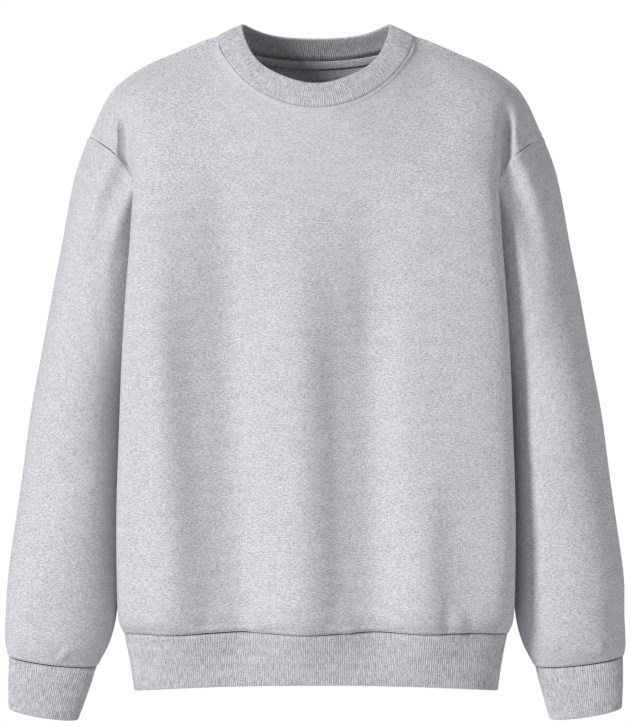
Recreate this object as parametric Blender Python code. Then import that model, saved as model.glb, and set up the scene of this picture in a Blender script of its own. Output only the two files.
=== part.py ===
"""A crewneck sweatshirt, filled out as if worn: nine sewn pieces, each a closed wall of cloth.

+Z is up and the front faces -Y, so the wearer's left is +X. The origin lies midway between the two points
where a shoulder seam meets the neckband, which is where the garment is carried. Sizes are in millimetres
until a mesh is made. All pieces are drawn as one skin of outer points with shared normals. Each wall then
goes inwards from that skin, and each edge that is sewn to another piece is drawn back by half of the gap.
"""

import math

import bpy
import numpy as np

METRES = 0.001

# Cloth
FLEECE_WALL = 2.0
RIB_WALL = 3.0  # two layers of rib knit
TAPE_WALL = 0.9
TAPE_CLEARANCE = 0.35
SEAM_GAP = 0.34
SHARPEST_MITRE = 0.4  # a mitred offset is at most 1 / this
RIB_PITCH = 2.4
RIB_RELIEF = 0.7  # from groove to crest

# Neckband. Depths are below the neck points, which lie at z = 0.
NECK_HALF_WIDTH = 103.6
NECK_FRONT_Y, NECK_BACK_Y, NECK_POINT_Y = -97.0, 80.0, 5.0
NECK_FRONT_DEPTH, NECK_BACK_DEPTH = 75.6, 24.0
NECK_ROUNDING = 1.28  # over 1, the seam falls away more slowly than an ellipse beside the neck point
COLLAR_HALF_WIDTH = 77.8
COLLAR_FRONT_Y, COLLAR_BACK_Y = -85.0, 63.5
COLLAR_SIDE_Z, COLLAR_FRONT_Z, COLLAR_BACK_Z = 14.7, -49.4, -1.2
COLLAR_BACK_ROUNDING = 1.4
COLLAR_BULGE = 0.8

# How the cloth rises where it meets the seam, as (back, up): at the middle of the neck, at the neck point,
# and along the shoulder from there
CROSSINGS = {
    "front": ((0.43, 0.90), (0.80, 0.50), (1.0, -0.10)),
    "back": ((-0.57, 0.82), (-0.95, 0.30), (-1.0, 0.10)),
}
ARMHOLE_CROSSING = (0.30, 0.93, 0.16)  # out, back and up: the armhole comes flat to the shoulder's tip
SHOULDER_SETTLES = 4  # columns from the neck point to where the shoulder's own crossing holds
NECK_POINT_SWING = 0.3  # near the neck point the cloth's columns also swing in towards the neck
NECK_POINT_REACH = 2.0  # over this many columns
SHOULDER_FULLNESS, ARMHOLE_FULLNESS = 0.6, 2.6
RELAXED_PASSES = 6  # evens out the cloth between the chest and the seams

# Shoulder seam from the neck point to the top of the armhole, seen from the front
SHOULDER_SEAM_Y = 5.0
SHOULDER_COLUMNS = ("x", "z")
SHOULDER = (
    (103.6, 0.0),
    (125.0, -7.6),
    (154.5, -20.2),
    (184.0, -33.8),
    (207.5, -50.8),
    (221.0, -67.5),
    (229.0, -84.5),
    (238.0, -106.0),
)

# Level sections of the torso and the waistband, one row per height. "edge" is where the front or the back
# turns into the side; "side" is the side seam, and above the underarm it is the front or the back of the
# armhole. The torso's side is hollow, because the hanging sleeve presses it in. "turn" is how far the panel
# swings in at its side, in degrees.
TORSO_COLUMNS = (
    "z", "edge_x", "front_y", "front_edge_y", "back_y", "back_edge_y",
    "front_side_x", "front_side_y", "back_side_x", "back_side_y", "turn",
)
TORSO = (
    (-686.9, 190.0, -101.0, -38.0, 97.0, 38.0, 191.0, 0.0, 191.0, 0.0, 0.0),
    (-627.0, 200.0, -109.0, -40.0, 105.0, 40.0, 201.0, 0.0, 201.0, 0.0, 0.0),
    (-620.0, 204.5, -115.0, -50.0, 110.0, 50.0, 201.0, 0.0, 201.0, 0.0, 0.0),
    (-604.0, 207.5, -119.5, -60.0, 113.0, 62.0, 196.0, 0.0, 196.0, 0.0, 0.0),
    (-570.0, 208.5, -121.0, -72.0, 114.0, 70.0, 187.0, 0.0, 187.0, 0.0, 0.0),
    (-520.0, 209.0, -121.0, -79.0, 114.0, 75.0, 177.0, 0.0, 177.0, 0.0, 0.0),
    (-465.0, 208.0, -121.5, -83.0, 114.5, 78.0, 170.0, 0.0, 170.0, 0.0, 0.0),
    (-410.0, 206.0, -122.0, -86.0, 115.0, 80.0, 164.0, 0.0, 164.0, 0.0, 0.0),
    (-355.0, 204.0, -123.0, -88.0, 116.0, 81.0, 160.0, 0.0, 160.0, 0.0, 0.0),
    (-298.0, 201.0, -124.0, -89.0, 117.0, 82.0, 157.0, 0.0, 157.0, 0.0, 0.0),
    (-255.0, 198.0, -124.0, -88.0, 117.5, 82.0, 162.0, -21.0, 163.0, 22.0, 25.0),
    (-212.0, 194.5, -122.5, -86.0, 117.0, 82.0, 171.0, -44.0, 173.0, 41.0, 40.0),
    (-170.0, 191.5, -119.0, -82.0, 115.0, 81.0, 184.0, -66.0, 184.0, 60.0, 45.0),
)
UNDERARM_Z = -298.0
CHEST_Z = -170.0  # above this the panels round over to the shoulders
HEM_Z, BAND_Z = -627.0, -686.9
PANEL_SQUARENESS = 0.76  # 0.55 is an ellipse
FLANK_FULLNESS = 0.38
SLOPE_STEP = 4.0  # the chest's slope is taken over this height
CURVE_SAMPLES = 61

# Drape folds of the torso: crests and troughs that run up from the waistband and fade
FOLD_COLUMNS = ("facing", "low_x", "high_x", "spread", "height", "fade_z", "full_z")
FRONT, BACK = -1, 1
FOLDS = (
    (FRONT, -152.0, -178.0, 26.0, 10.0, -60.0, -330.0),
    (FRONT, -76.0, -104.0, 28.0, -14.0, -60.0, -330.0),
    (FRONT, -12.0, -20.0, 27.0, 10.5, -120.0, -340.0),
    (FRONT, 64.0, 56.0, 27.0, -13.5, -120.0, -340.0),
    (FRONT, 116.0, 120.0, 24.0, 5.0, -380.0, -580.0),
    (FRONT, 168.0, 172.0, 20.0, -4.0, -380.0, -580.0),
    (BACK, 146.0, 166.0, 26.0, 9.0, -90.0, -350.0),
    (BACK, 74.0, 94.0, 27.0, -12.0, -90.0, -350.0),
    (BACK, 2.0, 12.0, 27.0, 9.0, -160.0, -380.0),
    (BACK, -72.0, -64.0, 27.0, -12.0, -140.0, -370.0),
    (BACK, -142.0, -134.0, 25.0, 8.0, -140.0, -370.0),
)
FOLDS_START_Y, FOLDS_FULL_Y = 60.0, 100.0  # a fold fades where the panel turns to the side

# The cleft between body and arm begins as a crease in the panel below the shoulder, beside the armhole.
CLEFT_X, CLEFT_WIDTH, CLEFT_DEPTH = 198.5, 6.0, 15.0
CLEFT_TOP_Z, CLEFT_FULL_Z = -60.0, -100.0
CLEFT_ENDS_Z = -150.0  # from here down to the chest the panel's own flank makes the cleft
FOLD_FLATTENING = 0.9  # the share of a fold that the elastic waistband takes out by its lower edge
BAND_SETTLES_Z = -590.0
HEM_WAVE = 0.25  # the hem seam sinks by this share of a fold's height
HEM_WAVE_TOP_Z = -570.0
HEM_ARCH = 6.0  # the band's lower edge is this much higher at its middle than at its sides

# Sleeve rings from the armhole to the cuff seam. Each ring leans, so it has an outer and an inner point,
# with the depth of half of it from front to back. The sleeves hang a little forward, as arms do, and leave
# a deep cleft beside the body.
SLEEVE_COLUMNS = ("outer_x", "outer_z", "inner_x", "inner_z", "half_depth", "middle_y")
SLEEVE = (
    (238.0, -106.0, 157.0, -298.0, 50.0, 0.0),
    (247.5, -137.0, 168.0, -313.0, 63.0, -7.0),
    (258.0, -177.0, 179.0, -331.0, 69.0, -10.5),
    (266.5, -219.0, 188.0, -351.0, 70.0, -12.5),
    (275.0, -262.0, 194.0, -376.0, 70.0, -14.0),
    (283.0, -307.0, 198.0, -404.0, 69.0, -16.5),
    (291.0, -352.0, 200.5, -434.0, 67.5, -19.0),
    (299.0, -397.0, 202.0, -464.0, 65.0, -20.5),
    (305.5, -443.0, 203.0, -495.0, 62.0, -21.5),
    (312.0, -489.0, 205.0, -527.0, 59.0, -22.0),
    (319.0, -536.0, 206.5, -559.0, 55.5, -22.0),
    (324.0, -579.0, 207.5, -590.0, 51.0, -22.0),
    (326.0, -617.0, 212.0, -622.0, 43.5, -22.0),
    (325.5, -640.0, 221.5, -647.0, 33.0, -22.0),
    (322.0, -650.5, 230.0, -661.0, 23.0, -22.0),
)
SLEEVE_BLEND_RINGS = 3  # the armhole's shape turns into an ellipse over these
EVEN_RING = 6  # from here the points are spread evenly round a ring
LEAN_RING = 8  # from here the rings lean forwards, more and more
LEFT, RIGHT = 1, -1
CUFF_COLUMNS = ("outer_x", "outer_z", "inner_x", "inner_z")
CUFF_EDGES = {LEFT: (321.5, -705.0, 244.5, -716.5), RIGHT: (323.0, -705.5, 249.0, -717.5)}
CUFF_HALF_DEPTH = 20.0
CUFF_LEAN = math.radians(13.0)  # the front of the cuff hangs lower than its back

# Soft bulges and hollows of the sleeves: where along the sleeve, and which way round in degrees, where
# 0 is outside, 90 the front and 180 inside
SLEEVE_FOLD_COLUMNS = ("side", "along", "angle", "length", "width", "height")
SLEEVE_FOLDS = (
    (LEFT, 0.30, 62.0, 0.09, 32.0, -3.0),
    (LEFT, 0.50, 48.0, 0.08, 38.0, 3.0),
    (LEFT, 0.60, 80.0, 0.07, 36.0, -3.5),
    (LEFT, 0.87, 24.0, 0.05, 26.0, -4.0),
    (LEFT, 0.55, 250.0, 0.10, 45.0, -4.0),
    (LEFT, 0.80, 300.0, 0.07, 40.0, -3.5),
    (RIGHT, 0.28, 60.0, 0.09, 30.0, -3.0),
    (RIGHT, 0.46, 50.0, 0.08, 36.0, 3.0),
    (RIGHT, 0.57, 78.0, 0.07, 34.0, -3.0),
    (RIGHT, 0.88, 70.0, 0.05, 28.0, -4.0),
    (RIGHT, 0.58, 255.0, 0.10, 45.0, -4.0),
    (RIGHT, 0.82, 290.0, 0.07, 40.0, -3.0),
)

# Grid of a panel: columns from its middle to its side, rows from the hem up
NECK_SPANS, SHOULDER_INNER_SPANS, SHOULDER_OUTER_SPANS = 8, 4, 4
EDGE_COLUMN = NECK_SPANS + SHOULDER_INNER_SPANS
HALF_SPANS = EDGE_COLUMN + SHOULDER_OUTER_SPANS
EDGE_SHOULDER_X = 205.0  # where the panel's edge runs out on the shoulder
LOWER_ROWS = (-627.0, -620.0, -604.0, -570.0, -520.0, -465.0, -410.0, -355.0, -298.0, -255.0, -212.0, -170.0)
UPPER_ROWS = (0.16, 0.32, 0.47, 0.61, 0.74, 0.86, 0.955, 1.0)
UNDERARM_ROW = LOWER_ROWS.index(UNDERARM_Z)

GREY_FLEECE = (0.58, 0.575, 0.60)
GREY_RIB = (0.47, 0.465, 0.49)
SHARP_ANGLE = math.radians(40.0)


def unit(vector):
    return vector / np.maximum(np.linalg.norm(vector, axis=-1, keepdims=True), 1e-9)


def smoothstep(value):
    value = np.clip(value, 0.0, 1.0)
    return value * value * (3 - 2 * value)


def hermite(start, end, start_slope, end_slope, at):
    """A cubic from start to end; at is an array of fractions."""
    t = np.asarray(at, float)[..., None]
    return (
        (2 * t**3 - 3 * t**2 + 1) * start
        + (t**3 - 2 * t**2 + t) * start_slope
        + (3 * t**2 - 2 * t**3) * end
        + (t**3 - t**2) * end_slope
    )


def read(table, columns, name, at):
    """The named column at one value of the first column, on a smooth curve through the rows."""
    rows = np.array(table)
    keys, values = rows[:, 0], rows[:, columns.index(name)]
    slopes = np.gradient(values, keys)
    row = int(np.clip(np.searchsorted(keys, at) - 1, 0, len(keys) - 2))
    span = keys[row + 1] - keys[row]
    share = (at - keys[row]) / span
    return float(hermite(values[row], values[row + 1], slopes[row] * span, slopes[row + 1] * span, share)[0])


def even_points(curve, shares):
    """Points at these shares of a polyline's length."""
    steps = np.linalg.norm(np.diff(curve, axis=0), axis=1)
    along = np.concatenate([[0.0], np.cumsum(steps)]) / steps.sum()
    return np.stack([np.interp(shares, along, curve[:, axis]) for axis in range(curve.shape[1])], axis=1)


def cubic(corners, shares):
    """Evenly spaced points of a cubic Bezier curve."""
    a, b, c, d = (np.array(corner, float) for corner in corners)
    t = np.linspace(0, 1, CURVE_SAMPLES)[:, None]
    curve = (1 - t) ** 3 * a + 3 * (1 - t) ** 2 * t * b + 3 * (1 - t) * t * t * c + t**3 * d
    return even_points(curve, shares)


def neck_seam(angle):
    """The seam of the neckband on the side of the wearer's left: 0 is the front, 180 degrees the back."""
    front = angle <= math.pi / 2
    level = abs(math.cos(angle)) ** NECK_ROUNDING
    reach = (NECK_FRONT_Y if front else NECK_BACK_Y) - NECK_POINT_Y
    return np.array([
        NECK_HALF_WIDTH * math.sin(angle),
        NECK_POINT_Y + reach * abs(math.cos(angle)),
        -(NECK_FRONT_DEPTH if front else NECK_BACK_DEPTH) * level,
    ])


def collar_edge(angle):
    """The upper edge of the neckband, by the same angle."""
    if angle <= math.pi / 2:
        y_reach, drop, level = COLLAR_FRONT_Y, COLLAR_FRONT_Z - COLLAR_SIDE_Z, abs(math.cos(angle))
    else:
        y_reach, drop = COLLAR_BACK_Y, COLLAR_BACK_Z - COLLAR_SIDE_Z
        level = abs(math.cos(angle)) ** COLLAR_BACK_ROUNDING
    return np.array([
        COLLAR_HALF_WIDTH * math.sin(angle),
        y_reach * abs(math.cos(angle)),
        COLLAR_SIDE_Z + drop * level,
    ])


def shoulder_point(x):
    return np.array([x, SHOULDER_SEAM_Y, read(SHOULDER, SHOULDER_COLUMNS, "z", x)])


def half_section(z, facing):
    """A level section of the front or back, from the middle to the wearer's left side."""
    def value(name):
        return read(TORSO, TORSO_COLUMNS, name, z)

    side = "front" if facing == FRONT else "back"
    middle, edge = np.array([0.0, value(side + "_y")]), np.array([value("edge_x"), value(side + "_edge_y")])
    seam = np.array([value(side + "_side_x"), value(side + "_side_y")])
    turn = math.radians(value("turn"))
    depth = edge[1] - middle[1]
    flank = abs(seam[1] - edge[1])
    inwards = np.array([-math.sin(turn), -facing * math.cos(turn)])
    panel = cubic(
        (middle, middle + (PANEL_SQUARENESS * edge[0], 0), edge - (0, PANEL_SQUARENESS * depth), edge),
        np.linspace(0, 1, EDGE_COLUMN + 1),
    )
    side_part = cubic(
        (edge, edge - (0, facing * FLANK_FULLNESS * flank), seam - FLANK_FULLNESS * flank * inwards, seam),
        np.linspace(0, 1, SHOULDER_OUTER_SPANS + 1),
    )
    points = np.concatenate([panel, side_part[1:]])
    return np.column_stack([points, np.full(len(points), z)])


def outside_share(column):
    """0 up to the panel's edge column, and 1 at the armhole."""
    return smoothstep((np.asarray(column, float) - EDGE_COLUMN) / SHOULDER_OUTER_SPANS)


def top_edge(facing):
    """The panel's neck and shoulder edge, from its middle to the armhole, and how the cloth crosses it."""
    ways = CROSSINGS["front" if facing == FRONT else "back"]
    middle, neck_point, shoulder = (np.array((0.0, *way)) for way in ways)
    points, crossings = [], []
    for column in range(NECK_SPANS + 1):
        turned = 0.5 * math.pi * column / NECK_SPANS
        points.append(neck_seam(turned if facing == FRONT else math.pi - turned))
        crossings.append(math.cos(turned) * middle + math.sin(turned) * neck_point)
    inner = np.linspace(NECK_HALF_WIDTH, EDGE_SHOULDER_X, SHOULDER_INNER_SPANS + 1)[1:]
    points += [shoulder_point(x) for x in inner]
    outer_x = np.linspace(EDGE_SHOULDER_X, SHOULDER[-1][0], CURVE_SAMPLES)
    outer = np.array([shoulder_point(x) for x in outer_x])
    points += list(even_points(outer, np.linspace(0, 1, SHOULDER_OUTER_SPANS + 1))[1:])
    armhole = np.array(ARMHOLE_CROSSING) * (1, -facing, 1)
    for column in range(1, HALF_SPANS - NECK_SPANS + 1):
        settled = smoothstep(column / SHOULDER_SETTLES)
        outside = outside_share(column + NECK_SPANS)
        crossing = (1 - settled) * neck_point + settled * shoulder
        crossings.append((1 - outside) * crossing + outside * armhole)
    crossings = np.array(crossings)
    swing = np.exp(-(((np.arange(HALF_SPANS + 1) - NECK_SPANS) / NECK_POINT_REACH) ** 2))
    crossings += NECK_POINT_SWING * swing[:, None] * unit(collar_edge(math.pi / 2) - neck_seam(math.pi / 2))
    return np.array(points), unit(crossings)


def half_panel(facing):
    """Rows of outer points from the hem to the shoulder, each from the middle to the wearer's left."""
    rows = [half_section(z, facing) for z in LOWER_ROWS]
    chest, below = rows[-1], half_section(CHEST_Z - SLOPE_STEP, facing)
    rising = unit(chest - below)
    top, crossing = top_edge(facing)
    reach = top - chest
    outside = outside_share(np.arange(HALF_SPANS + 1))[:, None]
    fullness = SHOULDER_FULLNESS + (ARMHOLE_FULLNESS - SHOULDER_FULLNESS) * outside
    fullness = 1 + fullness * (1 - np.abs((rising * crossing).sum(axis=1, keepdims=True)))
    start = rising * fullness * (reach * rising).sum(axis=1, keepdims=True)
    end = crossing * fullness * (reach * crossing).sum(axis=1, keepdims=True)
    for share in UPPER_ROWS:
        rows.append(hermite(chest, top, start, end, np.full(len(top), share)))
    return relaxed(np.array(rows))


def relaxed(rows):
    """Moves each point above the chest, inside the seams, towards the mean of its four neighbours."""
    first = len(LOWER_ROWS)
    for _ in range(RELAXED_PASSES):
        left = np.concatenate([rows[:, 1:2] * (-1, 1, 1), rows[:, :-2]], axis=1)
        means = (left[first:-1] + rows[first:-1, 1:] + rows[first + 1 :, :-1] + rows[first - 1 : -2, :-1]) / 4
        rows[first:-1, :-1] = (rows[first:-1, :-1] + means) / 2
    return rows


def fold_height(points, facing):
    height = np.zeros(points.shape[:-1])
    settled = smoothstep((BAND_SETTLES_Z - points[..., 2]) / (BAND_SETTLES_Z - BAND_Z))
    for row in FOLDS:
        fold = dict(zip(FOLD_COLUMNS, row))
        if fold["facing"] != facing:
            continue
        rise = np.clip((points[..., 2] - HEM_Z) / (fold["fade_z"] - HEM_Z), 0, 1)
        crest = fold["low_x"] + (fold["high_x"] - fold["low_x"]) * rise
        strength = smoothstep((fold["fade_z"] - points[..., 2]) / (fold["fade_z"] - fold["full_z"]))
        height += fold["height"] * strength * np.exp(-(((points[..., 0] - crest) / fold["spread"]) ** 2))
    return height * (1 - FOLD_FLATTENING * settled)


def fold_torso(rows, facing):
    """Moves a grid of torso points in and out by the drape folds."""
    height = fold_height(rows, facing)
    frontal = smoothstep((np.abs(rows[..., 1]) - FOLDS_START_Y) / (FOLDS_FULL_Y - FOLDS_START_Y))
    moved = rows.copy()
    moved[..., 1] += facing * height * frontal
    crease = np.exp(-(((np.abs(rows[..., 0]) - CLEFT_X) / CLEFT_WIDTH) ** 2))
    crease *= smoothstep((CLEFT_TOP_Z - rows[..., 2]) / (CLEFT_TOP_Z - CLEFT_FULL_Z))
    crease *= smoothstep((rows[..., 2] - CHEST_Z) / (CLEFT_ENDS_Z - CHEST_Z))
    moved[..., 1] -= facing * CLEFT_DEPTH * crease
    near_hem = smoothstep((HEM_WAVE_TOP_Z - rows[..., 2]) / (HEM_WAVE_TOP_Z - HEM_Z))
    moved[..., 2] -= HEM_WAVE * height * frontal * near_hem
    return moved


def whole(half):
    """A whole panel from its half: columns run from the wearer's right to the wearer's left."""
    mirrored = half[:, :0:-1] * (-1, 1, 1)
    return np.concatenate([mirrored, half], axis=1)


def band_edge():
    """The lower edge of the waistband, going all round from the wearer's right by the front."""
    sides = [fold_torso(whole(half_section(BAND_Z, facing)[None]), facing)[0] for facing in (FRONT, BACK)]
    ring = np.concatenate([sides[0], sides[1][-2:0:-1]])
    ring[:, 2] += HEM_ARCH * (1 - (ring[:, 0] / ring[:, 0].max()) ** 2)
    return ring


def sleeve_rings(side, armhole):
    """Rings of outer points from the armhole to the cuff seam, from the outside round by the front."""
    mirror = np.array([side, 1, 1])
    armhole = armhole * mirror
    count = len(armhole)
    half = count // 2
    steps = np.linalg.norm(np.diff(np.concatenate([armhole, armhole[:1]]), axis=0), axis=1)
    along = np.concatenate([[0.0], np.cumsum(steps)])[:count]
    shares = np.where(
        np.arange(count) <= half,
        0.5 * along / along[half],
        0.5 + 0.5 * (along - along[half]) / (steps.sum() - along[half]),
    )
    own_middle = np.array([(SLEEVE[0][0] + SLEEVE[0][2]) / 2, 0.0, (SLEEVE[0][1] + SLEEVE[0][3]) / 2])
    rings = [armhole]
    for number, row in enumerate(SLEEVE[1:], start=1):
        ring = dict(zip(SLEEVE_COLUMNS, row))
        outer = np.array([ring["outer_x"], ring["middle_y"], ring["outer_z"]])
        inner = np.array([ring["inner_x"], ring["middle_y"], ring["inner_z"]])
        even = smoothstep(number / EVEN_RING)
        angles = 2 * np.pi * ((1 - even) * shares + even * np.arange(count) / count)
        lean = CUFF_LEAN * smoothstep((number - LEAN_RING) / (len(SLEEVE) - 1 - LEAN_RING))
        forwards = np.array([0, -math.cos(lean), -math.sin(lean)]) * ring["half_depth"]
        oval = np.outer(np.cos(angles), (outer - inner) / 2) + np.outer(np.sin(angles), forwards)
        along_sleeve = number / (len(SLEEVE) - 1)
        oval *= 1 + sleeve_fold(side, along_sleeve, angles)[:, None] / ring["half_depth"]
        blend = smoothstep(number / SLEEVE_BLEND_RINGS)
        rings.append((outer + inner) / 2 + (1 - blend) * (armhole - own_middle) + blend * oval)
    return np.array(rings) * mirror


def sleeve_fold(side, along, angles):
    height = np.zeros(len(angles))
    for row in SLEEVE_FOLDS:
        fold = dict(zip(SLEEVE_FOLD_COLUMNS, row))
        if fold["side"] != side:
            continue
        turned = (np.degrees(angles) - fold["angle"] + 180) % 360 - 180
        across = (turned / fold["width"]) ** 2
        height += fold["height"] * np.exp(-across - ((along - fold["along"]) / fold["length"]) ** 2)
    return height


def cuff_edge(side, count):
    """The lower ring of a cuff."""
    mirror = np.array([side, 1, 1])
    angles = 2 * np.pi * np.arange(count) / count
    middle_y = dict(zip(SLEEVE_COLUMNS, SLEEVE[-1]))["middle_y"]
    edge = dict(zip(CUFF_COLUMNS, CUFF_EDGES[side]))
    outer = np.array([edge["outer_x"], middle_y, edge["outer_z"]])
    inner = np.array([edge["inner_x"], middle_y, edge["inner_z"]])
    forwards = np.array([0, -math.cos(CUFF_LEAN), -math.sin(CUFF_LEAN)]) * CUFF_HALF_DEPTH
    oval = np.outer(np.cos(angles), (outer - inner) / 2) + np.outer(np.sin(angles), forwards)
    return ((outer + inner) / 2 + oval) * mirror


def collar_rings(seam_angles):
    """The neckband's middle and upper rings above its seam, which bulge a little between the two."""
    seam, edge = [], []
    for turned in seam_angles:
        angle, mirror = (turned, 1) if turned <= math.pi else (2 * math.pi - turned, -1)
        seam.append(neck_seam(angle) * (mirror, 1, 1))
        edge.append(collar_edge(angle) * (mirror, 1, 1))
    seam, edge = np.array(seam), np.array(edge)
    halfway = (seam + edge) / 2
    out = unit(np.cross(np.roll(edge, -1, axis=0) - np.roll(edge, 1, axis=0), edge - seam))
    return halfway + out * COLLAR_BULGE, edge


def grid_normals(points, ring):
    """Each quad's area vector, added to its corners. A ring's last column joins its first."""
    following = np.roll(points, -1, axis=1) if ring else points[:, 1:]
    current = points if ring else points[:, :-1]
    area = np.cross(following[1:] - current[:-1], current[1:] - following[:-1])
    return area, current, following


def armhole_mitre(side, line, panel_inside, sleeve_inside):
    """Outward offsets along an armhole, which halve the angle between the panel and the sleeve."""
    along = unit(np.roll(line, -1, axis=0) - np.roll(line, 1, axis=0))
    ways = []
    for inside in (panel_inside, sleeve_inside):
        way = inside - line
        ways.append(unit(way - along * (way * along).sum(axis=1, keepdims=True)))
    panel_normal = side * np.cross(ways[0], along)
    sleeve_normal = side * np.cross(along, ways[1])
    # Where the two lie flat their normals agree, and where they fold together both leave by the open side.
    middle = unit(panel_normal + sleeve_normal + ways[0] + ways[1])
    return middle / np.maximum((middle * panel_normal).sum(axis=1, keepdims=True), SHARPEST_MITRE)


def shared_offsets(skins, armholes):
    """For each skin, how far a millimetre of wall takes each outer point outwards, mitred at the seams."""
    def key(point):
        return tuple(np.round(point, 3))

    faces = {}
    for skin in skins.values():
        area, current, following = grid_normals(skin["points"], skin["ring"])
        for i in range(area.shape[0]):
            for j in range(area.shape[1]):
                for corner in (current[i, j], following[i, j], current[i + 1, j], following[i + 1, j]):
                    faces.setdefault(key(corner), []).append(area[i, j])
    offsets = {}
    for place, found in faces.items():
        mean = unit(np.sum(found, axis=0))
        offsets[place] = mean / max(float((unit(np.array(found)) @ mean).mean()), SHARPEST_MITRE)
    for armhole in armholes:
        for point, offset in zip(armhole[1], armhole_mitre(*armhole)):
            offsets[key(point)] = offset
    for skin in skins.values():
        flat = [offsets[key(point)] for point in skin["points"].reshape(-1, 3)]
        skin["offsets"] = np.array(flat).reshape(skin["points"].shape)


def draw_back(points, offsets, ring, sides):
    """Moves the edges that are sewn to other pieces into the piece, by half of the seam's gap."""
    moved = points.copy()
    for side in sides:
        turned = {"bottom": (0, 1, 0), "top": (-1, -2, 0), "start": (0, 1, 1), "end": (-1, -2, 1)}[side]
        edge, inside, axis = turned
        line = points[edge] if axis == 0 else points[:, edge]
        inner = points[inside] if axis == 0 else points[:, inside]
        out = offsets[edge] if axis == 0 else offsets[:, edge]
        if ring and axis == 0:
            along = np.roll(line, -1, axis=0) - np.roll(line, 1, axis=0)
        else:
            along = np.gradient(line, axis=0)
        away = unit(np.cross(unit(along), unit(out)))
        away *= np.sign(((inner - line) * away).sum())
        if axis == 0:
            moved[edge] += away * SEAM_GAP / 2
        else:
            moved[:, edge] += away * SEAM_GAP / 2
    return moved


def make_object(name, points, faces, material):
    mesh = bpy.data.meshes.new(name)
    mesh.from_pydata((np.asarray(points) * METRES).tolist(), [], faces)
    mesh.materials.append(material)
    mesh.validate()
    body = bpy.data.objects.new(name, mesh)
    bpy.context.scene.collection.objects.link(body)
    mesh.shade_smooth()
    mesh.set_sharp_from_angle(angle=SHARP_ANGLE)
    return body


def split(points, corners):
    """A quad as two triangles, cut by its shorter diagonal, so that neighbours at a seam are cut alike."""
    a, b, c, d = corners
    if np.linalg.norm(points[a] - points[c]) <= np.linalg.norm(points[b] - points[d]):
        return [(a, b, c), (a, c, d)]
    return [(a, b, d), (b, c, d)]


def wall_object(name, outer, inner, ring, material):
    """A closed wall between two grids of the same size."""
    rows, columns = outer.shape[:2]
    points = np.concatenate([outer.reshape(-1, 3), inner.reshape(-1, 3)])

    def at(row, column, layer=0):
        return layer * rows * columns + row * columns + column % columns

    quads = []
    last = columns if ring else columns - 1
    for row in range(rows - 1):
        for column in range(last):
            corners = ((row, column), (row, column + 1), (row + 1, column + 1), (row + 1, column))
            quads.append([at(*corner) for corner in corners])
            quads.append([at(*corner, 1) for corner in reversed(corners)])
    for column in range(last):
        top = rows - 1
        quads.append([at(0, column, 1), at(0, column + 1, 1), at(0, column + 1), at(0, column)])
        quads.append([at(top, column), at(top, column + 1), at(top, column + 1, 1), at(top, column, 1)])
    for row in range(0 if ring else rows - 1):
        quads.append([at(row, 0), at(row + 1, 0), at(row + 1, 0, 1), at(row, 0, 1)])
        quads.append([at(row, last, 1), at(row + 1, last, 1), at(row + 1, last), at(row, last)])
    faces = [triangle for quad in quads for triangle in split(points, quad)]
    return make_object(name, points, faces, material)


def ribbed_object(name, points, offsets, material):
    """A closed ring of rib knit: its outer points rise and fall rib by rib, and its inner wall is plain."""
    rows, columns = points.shape[:2]
    spans = np.linalg.norm(np.roll(points[1], -1, axis=0) - points[1], axis=1)
    ribs = np.maximum(1, np.round(spans / RIB_PITCH)).astype(int)
    outer, starts = [], [0]
    for column in range(columns):
        following = (column + 1) % columns
        for step in range(2 * ribs[column]):
            share = step / (2 * ribs[column])
            base = (1 - share) * points[:, column] + share * points[:, following]
            out = unit((1 - share) * offsets[:, column] + share * offsets[:, following])
            relief = 0.0 if step % 2 == 0 else -RIB_RELIEF
            outer.append(base + relief * out)
        starts.append(len(outer))
    outer = np.array(outer).transpose(1, 0, 2)
    inner = points - RIB_WALL * offsets
    fine = outer.shape[1]
    vertices = np.concatenate([outer.reshape(-1, 3), inner.reshape(-1, 3)])

    def at_outer(row, column):
        return row * fine + column % fine

    def at_inner(row, column):
        return rows * fine + row * columns + column % columns

    faces = []
    for row in range(rows - 1):
        for column in range(fine):
            corners = ((row, column), (row, column + 1), (row + 1, column + 1), (row + 1, column))
            faces.append([at_outer(r, c) for r, c in corners])
        for column in range(columns):
            corners = ((row + 1, column), (row + 1, column + 1), (row, column + 1), (row, column))
            faces.append([at_inner(r, c) for r, c in corners])
    for row, upper in ((0, False), (rows - 1, True)):
        for column in range(columns):
            first, last = starts[column], starts[column + 1]
            half = (first + last) // 2
            near, far = at_inner(row, column), at_inner(row, column + 1)
            fan = [[at_outer(row, k), at_outer(row, k + 1), near] for k in range(first, half)]
            fan.append([near, at_outer(row, half), far])
            fan += [[at_outer(row, k), at_outer(row, k + 1), far] for k in range(half, last)]
            faces += fan if upper else [corners[::-1] for corners in fan]
    return make_object(name, vertices, faces, material)


def make_material(name, colour, roughness):
    material = bpy.data.materials.new(name)
    material.use_nodes = True
    shader = material.node_tree.nodes["Principled BSDF"]
    shader.inputs["Base Color"].default_value = (*colour, 1)
    shader.inputs["Roughness"].default_value = roughness
    shader.inputs["Metallic"].default_value = 0
    return material


def around_armhole(front, back, column):
    """A column of both panels from the shoulder down the front to the underarm and up the back."""
    return np.concatenate([front[UNDERARM_ROW:, column][::-1], back[UNDERARM_ROW + 1 : -1, column]])


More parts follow.
